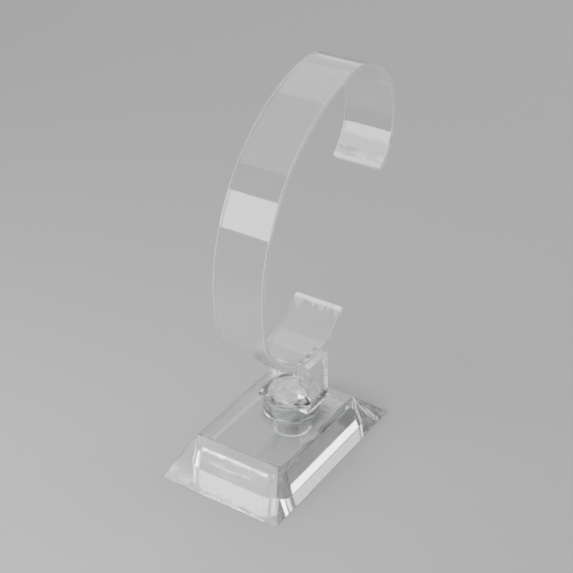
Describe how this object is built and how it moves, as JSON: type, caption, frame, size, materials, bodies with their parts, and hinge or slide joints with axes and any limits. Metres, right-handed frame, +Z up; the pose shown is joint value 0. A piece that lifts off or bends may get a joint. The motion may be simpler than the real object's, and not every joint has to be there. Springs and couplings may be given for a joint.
{
  "type": "watch stand",
  "caption": "Clear plastic stand that displays a wristwatch on a sprung C-shaped band, on a side post plugged into a bevelled, hollow base.",
  "frame": {"origin": "on the floor, under the middle of the whole stand's outline", "axes": "+X along the base's long side towards the mouth of the ring, +Y across the band away from the side post, +Z up"},
  "size_m": [0.1052, 0.05, 0.1352],
  "materials": {
    "clear_base": "polished, clear",
    "clear_ring": "polished, clear"
  },
  "bodies": {
    "root": {"base": "clear_base", "display_ring": "clear_ring"}
  },
  "joints": []
}
